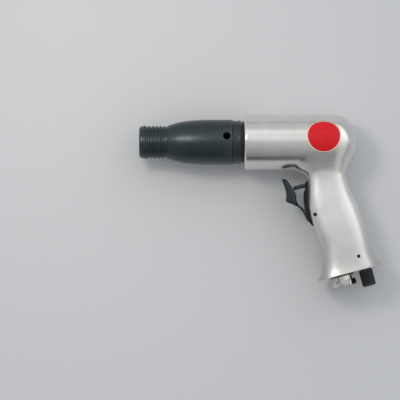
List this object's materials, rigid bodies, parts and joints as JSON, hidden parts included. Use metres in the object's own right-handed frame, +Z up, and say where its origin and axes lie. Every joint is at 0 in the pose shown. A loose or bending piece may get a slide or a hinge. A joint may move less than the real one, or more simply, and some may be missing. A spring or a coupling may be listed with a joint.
{
  "type": "pneumatic air hammer",
  "caption": "Pistol-grip air hammer: black threaded barrel in a satin metal housing, sprung trigger, and air inlet and power knob under the handle.",
  "frame": {"origin": "on the floor under the middle of the tool's footprint, with the tool lying on its side", "axes": "+X from the muzzle towards the rear of the housing, -Y down the handle, +Z up out of the side that carries the badge"},
  "size_m": [0.2134, 0.1533, 0.0485],
  "materials": {
    "satin_aluminium": "tumbled and satin polished",
    "black_oxide_steel": "turned and black oxided",
    "black_enamel": "semi-gloss black",
    "black_plastic": "matte black",
    "bare_steel": "ground",
    "plated_steel": "nickel plated",
    "brass": "turned",
    "nitrile_rubber": "matte black",
    "red_enamel": "glossy red"
  },
  "bodies": {
    "frame": {"housing": "satin_aluminium", "barrel": "black_oxide_steel", "lock_ring": "black_oxide_steel", "barrel_o_ring": "nitrile_rubber", "badge": "red_enamel", "valve_plate": "bare_steel", "valve_body": "bare_steel", "valve_dowel": "bare_steel", "wave_washer": "bare_steel", "trigger_guide": "black_plastic", "trigger_pin": "bare_steel", "throttle_bushing": "brass", "throttle_o_ring": "nitrile_rubber", "stem_o_ring": "nitrile_rubber", "throttle_spring": "bare_steel", "inlet_bushing": "plated_steel", "inlet_seal": "nitrile_rubber", "inlet_screen": "bare_steel", "regulator_pin": "bare_steel"},
    "trigger": {"trigger": "black_enamel"},
    "throttle": {"throttle_stem": "bare_steel", "throttle_ball": "bare_steel"},
    "piston": {"piston": "bare_steel"},
    "valve": {"valve_disc": "bare_steel"},
    "regulator": {"regulator_knob": "black_oxide_steel", "regulator_spool": "brass", "regulator_o_ring": "nitrile_rubber"}
  },
  "joints": [
    {"name": "trigger_pivot", "type": "hinge", "parent": "frame", "child": "trigger", "pos_m": [0.04748, -0.01098, 0.0242], "axis": [0, 0, -1], "range_deg": [0, 8], "stiffness_Nm_per_rad": 0.6, "springref_deg": -14.32},
    {"name": "throttle_slide", "type": "slide", "parent": "frame", "child": "throttle", "axis": [0.965, 0.2622, 0], "range_m": [0, 0.004], "deforming": ["throttle_spring"]},
    {"name": "piston_slide", "type": "slide", "parent": "frame", "child": "piston", "axis": [1, 0, 0], "range_m": [0, 0.058]},
    {"name": "valve_slide", "type": "slide", "parent": "frame", "child": "valve", "axis": [1, 0, 0], "range_m": [0, 0.0015]},
    {"name": "regulator_turn", "type": "hinge", "parent": "frame", "child": "regulator", "pos_m": [0.09174, -0.05833, 0.0242], "axis": [0.2622, -0.965, 0], "continuous": true}
  ],
  "couplings": [
    {"joint": "throttle_slide", "follows": "trigger_pivot", "m_per_rad": 0.0275}
  ]
}
